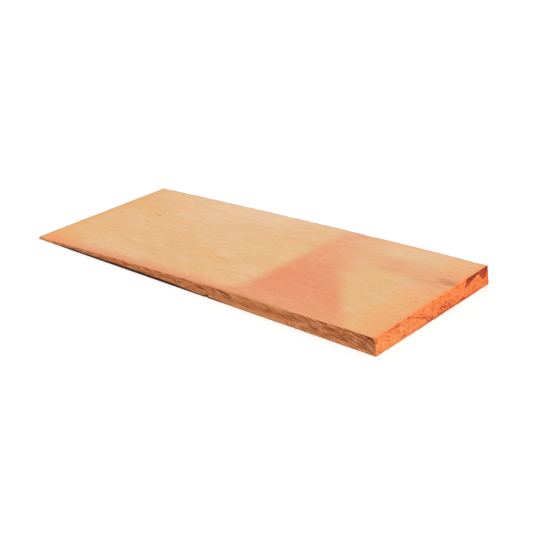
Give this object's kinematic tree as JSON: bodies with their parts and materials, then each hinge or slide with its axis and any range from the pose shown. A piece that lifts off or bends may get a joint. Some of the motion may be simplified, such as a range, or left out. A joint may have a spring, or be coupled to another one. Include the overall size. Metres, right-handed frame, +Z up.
{
  "type": "wood shingle",
  "caption": "Taper-sawn cedar shingle: a slightly bowed wooden board, thin at the tip and thick at the rough butt.",
  "frame": {"origin": "on the floor under the middle of the board", "axes": "+X along the grain from the thin tip to the thick butt, +Y across the width, +Z up"},
  "size_m": [0.4572, 0.2032, 0.0205],
  "materials": {
    "wood": "sawn, untreated cedar"
  },
  "bodies": {
    "root": {"shingle": "wood"}
  },
  "joints": []
}
